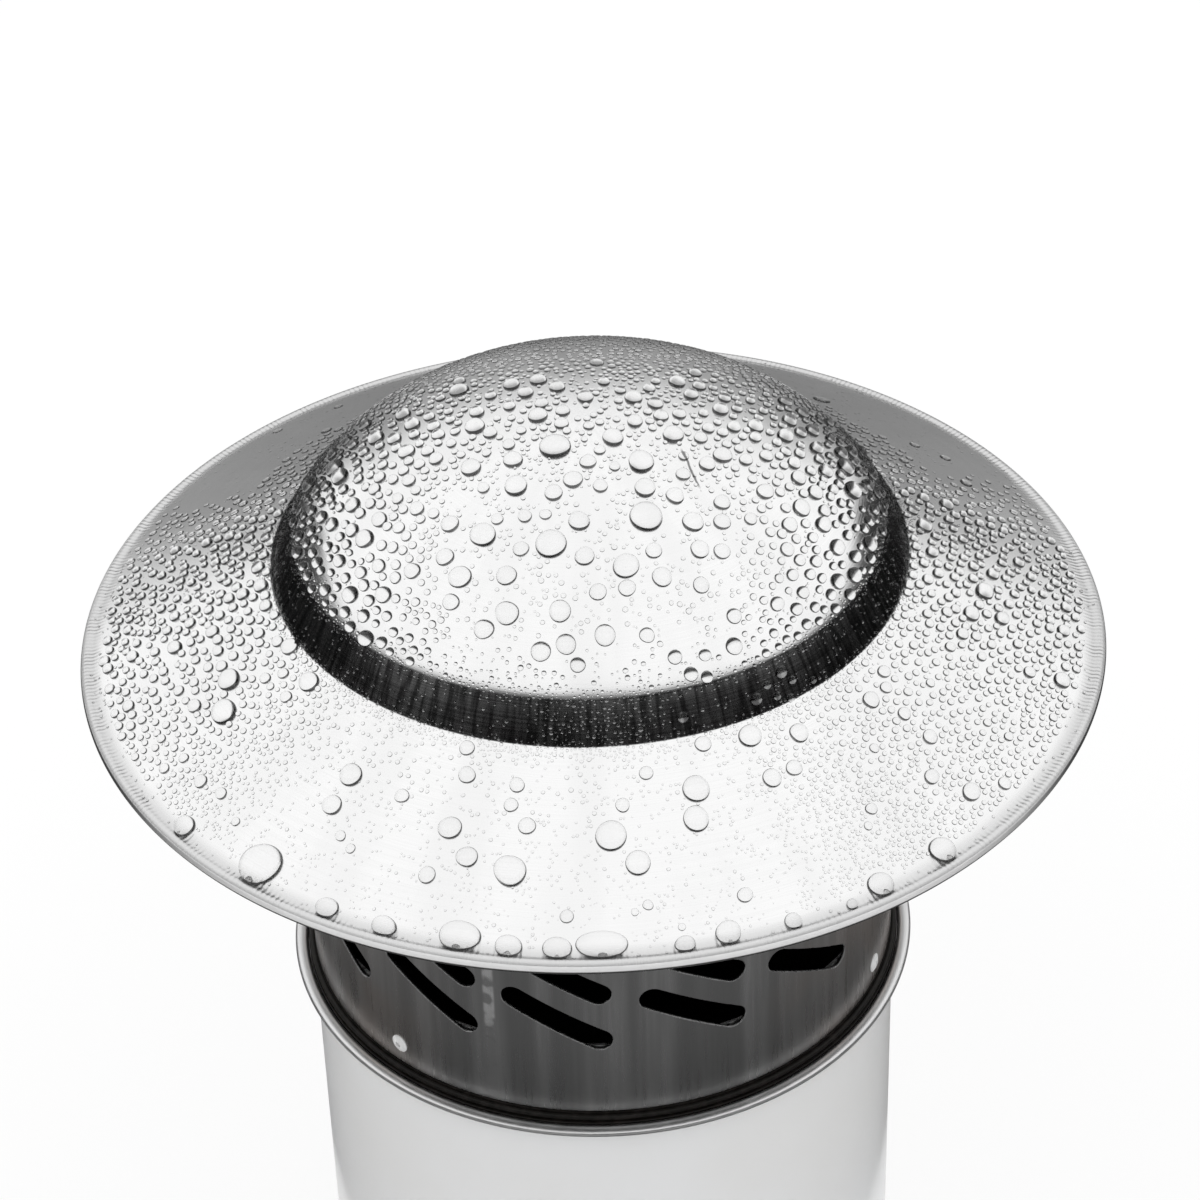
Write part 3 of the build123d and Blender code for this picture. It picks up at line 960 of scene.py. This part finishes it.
def place_seen(drops, tree, x, y, width, height=None):
    """Places the drop that the photograph shows at a pixel, on the point of the hat that lies behind it."""
    ray = pixel_ray(x, y)
    place, normal, _, distance = tree.ray_cast(CAMERA_PLACE, ray)
    if place is None:
        return
    radius = width / 2 * (distance / MM) / FOCAL_PIXELS
    slim = 1.0
    if height:
        slim = min(height / width / abs(ray.dot(normal)), 1.0)
    plan = hypot(place.x, place.y) / MM
    inwards = min(1.0, (RIM_EDGE - radius * slim) / plan)
    points, normals = on_hat(*(np.array([[place.x], [place.y]]) / MM * inwards))
    drops.place("large", points, normals, np.array([radius]), SEEN_GAP, slim)


# Slope of a drop's side at its foot, and how deep it is sunk into the sheet
DROP_CONTACT = radians(86)
DROP_SINK = 0.12
# Height of the dark line at a drop's foot, painted shade for the dark edge of a real drop: a share of its
# radius within limits, up to a share of its height
FOOT_LINE_SHARE = 0.22
FOOT_LINE_LIMITS = (0.05, 0.45)
FOOT_LINE_OF_TOP = 0.28


def drop_mesh(placed, around, levels):
    """Vertices, faces and zones of many drops, each a rounded cap whose foot is sunk into the sheet."""
    placed = np.array(placed)
    count = len(placed)
    points = placed[:, :3]
    normals = placed[:, 3:6]
    radii = placed[:, 6]
    turns = np.linspace(0, 2 * pi, around, endpoint=False)
    swell = rng.uniform(0.01, 0.05, (count, 1)) * np.cos(2 * turns + rng.uniform(0, 6, (count, 1)))
    swell += rng.uniform(0.0, 0.03, (count, 1)) * np.cos(3 * turns + rng.uniform(0, 6, (count, 1)))
    girth = np.stack([-points[:, 1], points[:, 0], np.zeros(count)], -1)
    girth /= np.linalg.norm(girth, axis=1)[:, None]
    down = np.cross(girth, normals)
    reach = radii[:, None] * (1 + swell)
    along = (reach * np.cos(turns))[:, :, None] * girth[:, None]
    slope = (reach * np.sin(turns) * placed[:, 7:8])[:, :, None] * down[:, None]
    spread = along + slope
    flatness = np.minimum(1, 1.3 / radii)
    on_brim = np.hypot(points[:, 0], points[:, 1]) > STEP_FOOT[0]
    fade = np.where(on_brim, smooth(points[:, 1], 6, 28), smooth(points[:, 1], 4, 32))
    plump = placed[:, 7] * flatness**0.5 * (1 - 0.72 * fade)
    top = tan(DROP_CONTACT / 2) * radii * plump
    power = 0.45 + 0.55 * flatness
    fall = 1 - cos(DROP_CONTACT)

    feet, outwards = on_hat(*np.moveaxis((points[:, None] + spread)[:, :, :2], -1, 0))
    rings = [(points - DROP_SINK * normals)[:, None], feet - DROP_SINK * outwards, feet]
    foot = np.clip(FOOT_LINE_SHARE * radii, *FOOT_LINE_LIMITS)
    foot_share = np.minimum(foot / top, FOOT_LINE_OF_TOP)
    first_lean = np.arccos(cos(DROP_CONTACT) + fall * foot_share ** (1 / power))
    for part in np.linspace(1, 0, levels)[:-1]:
        lean = first_lean * part
        share = (np.sin(lean) / sin(DROP_CONTACT))[:, None, None]
        rise = top * ((np.cos(lean) - cos(DROP_CONTACT)) / fall) ** power
        flat = points[:, None] + share * spread
        bent, _ = on_hat(*np.moveaxis(flat[:, :, :2], -1, 0))
        rings.append(flat + share**2 * (bent - flat) + (rise[:, None] * normals)[:, None])
    rings.append((points + top[:, None] * normals)[:, None])
    vertices = np.concatenate(rings, 1)

    size = vertices.shape[1]
    pattern = []
    first = 1
    for i in range(around):
        j = (i + 1) % around
        pattern.append((0, first + i, first + j))
        pattern.append((size - 1, size - 1 - around + j, size - 1 - around + i))
        for level in range(levels):
            low = first + level * around
            pattern.append((low + i, low + around + i, low + around + j, low + j))
    starts = range(0, count * size, size)
    faces = [tuple(corner + start for corner in face) for start in starts for face in pattern]
    at_foot = [int(len(face) == 4 and first <= face[0] < first + 2 * around) for face in pattern] * count
    return vertices.reshape(-1, 3), faces, at_foot


# Throws of drops at random: their kind, rule, number, ring of the hat, gaps and variation in size
THROWS = [
    ("medium", medium_rule, 6000, (0, 79), 0.40, 0.18),
    ("small", small_rule, 34000, (0, STEP_TOP[0]), 0.30, 0.16),
    ("small", small_rule, 60000, (STEP_FOOT[0], 79), 0.30, 0.16),
    ("tiny", tiny_rule, 26000, (0, 81.5), 0.4, 0.25),
    ("tiny", tiny_rule, 26000, (46.6, 52.5), 0.3, 0.40),
]
# Points round a drop of each kind, and rings of them up its side
DROP_NETS = {"large": (44, 10), "medium": (26, 7), "small": (16, 5), "tiny": (8, 3)}
DROP_SECTORS = 12


def add_drops(hat):
    tree = BVHTree.FromPolygons([v.co for v in hat.data.vertices], [p.vertices for p in hat.data.polygons])
    drops = Drops()
    for seen in RIM_DROPS + BRIM_DROPS + DOME_DROPS:
        place_seen(drops, tree, *seen)
    for throw in THROWS:
        scatter(drops, *throw)
    # painted shade: the drops' feet get dark water, as the dark rim a real drop shows at its edge
    waters = [water("water", 1.0), water("water_painted_dark_edge", 0.03)]
    for kind, net in DROP_NETS.items():
        groups = [[] for _ in range(DROP_SECTORS)]
        for drop in drops.placed[kind]:
            turn = atan2(drop[0], -drop[1]) / (2 * pi) * DROP_SECTORS
            groups[round(turn) % DROP_SECTORS].append(drop)
        for number, placed in enumerate(groups, 1):
            if placed:
                vertices, faces, at_foot = drop_mesh(placed, *net)
                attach(new_object(f"drops_{kind}_{number}", vertices, faces, waters, at_foot), "cap_head")


# Studio

def add_world():
    world = bpy.data.worlds.new("studio")
    scene.world = world
    world.use_nodes = True
    nodes = Nodes(world.node_tree)
    lit = nodes.fill(nodes.tree.nodes["Background"], {"Color": grey(1.0), "Strength": 0.72})
    seen = nodes.add("Background", {"Color": grey(1.0), "Strength": 1.0})
    mix = {0: nodes.seen_share(), 1: lit.outputs[0], 2: seen.outputs[0]}
    nodes.show(nodes.add("MixShader", mix), "World Output")


def stage_mesh(vertices, faces, look):
    """A piece of the studio, named like its material."""
    mesh = bpy.data.meshes.new(look.material.name)
    mesh.from_pydata(vertices, [], faces)
    mesh.materials.append(look.material)
    piece = add_object(mesh.name, mesh)
    return piece


def add_floor():
    half = 3.0
    corners = [(-half, -half, 0), (half, -half, 0), (half, half, 0), (-half, half, 0)]
    look = Look("floor", Base_Color=grey(0.85), Roughness=1.0, Specular_IOR_Level=0.0)
    glow = look.add("Emission", {"Color": grey(1.0)})
    share = look.times(look.seen_share(), 0.85)
    look.show(look.add("MixShader", {0: share, 1: look.shader.outputs[0], 2: glow.outputs[0]}))
    stage_mesh(corners, [(0, 1, 2, 3)], look)


def add_flue_shade_disc():
    """A dark disc inside the collar: painted shade for the dark way down the flue."""
    rim = [(x, y, 0.0005) for x, y in arc((0, 0), (COLLAR_BORE + 0.3) * MM, 0, 360, 96)[:-1]]
    look = Look("flue_shade_disc", Base_Color=grey(0.01), Roughness=0.9)
    stage_mesh(rim, [tuple(range(len(rim)))], look)


# Height from which the screens' elevations are measured, and their reach and foot, in metres
HAT_MIDDLE = 0.15
TENT_REACH = 0.8
TENT_FOOT = 0.003
# Where the dark low screens end, as azimuths off the front and the elevations of their top edge
DARK_AZIMUTHS = (0, 40, 75, 95, 115, 127, 134, 140, 145, 150, 156, 165, 173, 180)
DARK_TOPS = (31, 26, 17, 13, 11, 9, 5, -1, -8, -13, -17, -20, -25, -28)
# Glow of the screens behind the hat, by elevation
BACK_ELEVATIONS = (-20, -8, 0, 6, 10, 16, 24)
BACK_GLOWS = (0.22, 0.28, 0.32, 0.38, 0.46, 0.68, 0.94)


def tent_glow(azimuth, elevation):
    """Brightness of the low screens as the hat sees them: near black in front and paler at the back."""
    side = abs(azimuth)
    dark_top = np.interp(side, DARK_AZIMUTHS, DARK_TOPS)
    dark_foot = 4 - 28 * smooth(side, 15, 105)
    dark = 0.025 + 0.30 * (1 - smooth(elevation, dark_foot - 5, dark_foot + 3))
    dimmer = (8 if azimuth > 0 else 4) * (1 - smooth(side, 156, 176))
    raised = elevation - dimmer - 0.25 * max(side - 150, 0)
    back = np.interp(raised, BACK_ELEVATIONS, BACK_GLOWS)
    pale = 1 + (back - 1) * smooth(side, 133 if azimuth > 0 else 138, 154)
    glow = dark + (pale - dark) * smooth(elevation, dark_top - 2.5, dark_top + 2.5)
    glow += (0.27 - glow) * smooth(-elevation, 20, 30)
    return glow + (0.03 - glow) * smooth(-elevation, 48, 53)


def add_tent():
    """Low screens round the object and over the floor, which only show in reflections and through water."""
    azimuths = np.arange(-180, 180, 2.5)
    elevations = np.concatenate([np.arange(-69, -15, 2.0), np.arange(-15, 38.1, 1.0)])
    vertices = []
    glows = []
    for azimuth in azimuths:
        turn = radians(azimuth)
        for elevation in elevations:
            rise = tan(radians(elevation))
            height = HAT_MIDDLE + TENT_REACH * rise
            reach = TENT_REACH
            if height < TENT_FOOT:
                height = TENT_FOOT
                reach = (TENT_FOOT - HAT_MIDDLE) / rise
            vertices.append((reach * sin(turn), -reach * cos(turn), height))
            glows.append(float(tent_glow(azimuth, elevation)))
    levels = len(elevations)
    faces = []
    for i in range(len(azimuths)):
        j = (i + 1) % len(azimuths)
        for level in range(levels - 1):
            low = i * levels + level
            high = j * levels + level
            faces.append((low, high, high + 1, low + 1))
    look = Look("reflection_tent")
    look.tree.nodes.remove(look.shader)
    glow = look.add("Attribute", {}, attribute_name="glow").outputs["Fac"]
    look.show(look.add("Emission", {"Strength": glow}))
    tent = stage_mesh(vertices, faces, look)
    tent.data.attributes.new("glow", "FLOAT", "POINT").data.foreach_set("value", glows)
    tent.visible_camera = False
    tent.visible_diffuse = False
    tent.visible_shadow = False


def add_lamp():
    lamp = bpy.data.lights.new("overhead_softbox", "AREA")
    lamp.shape = "DISK"
    lamp.size = 3.0
    lamp.energy = 22.0
    piece = add_object(lamp.name, lamp)
    piece.location = (0, 0.1, 1.4)
    piece.visible_glossy = False
    piece.visible_transmission = False


def dress_frame():
    """Materials for the frame's own nodes that stay."""
    sleeve = plain_metal("sleeve_steel", 0.70, 0.85, 0.3, shaded_inside_radius=SLEEVE_BORE + 0.15)
    wire = plain_metal("wire_steel", 0.35, 0.45, 0.35)
    aluminium = plain_metal("rivet_aluminium_bright", 0.84, 0.92, 0.45, metallic=0.25)
    mandrel = plain_metal("mandrel_steel_grey", 0.70, 0.82, 0.4, metallic=0.5)
    finishes = {"spigot_sleeve": sleeve, "rim_wire": wire}
    for side in ("left", "right", "back"):
        finishes[f"rivet_{side}"] = aluminium
        finishes[f"mandrel_{side}"] = mandrel
    for node, material in finishes.items():
        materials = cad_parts[node].data.materials
        materials.clear()
        materials.append(material)


add_camera()
add_world()
add_floor()
add_flue_shade_disc()
add_lamp()
add_tent()
dress_frame()
hat = add_hat()
add_cage()
add_collar()
add_drops(hat)
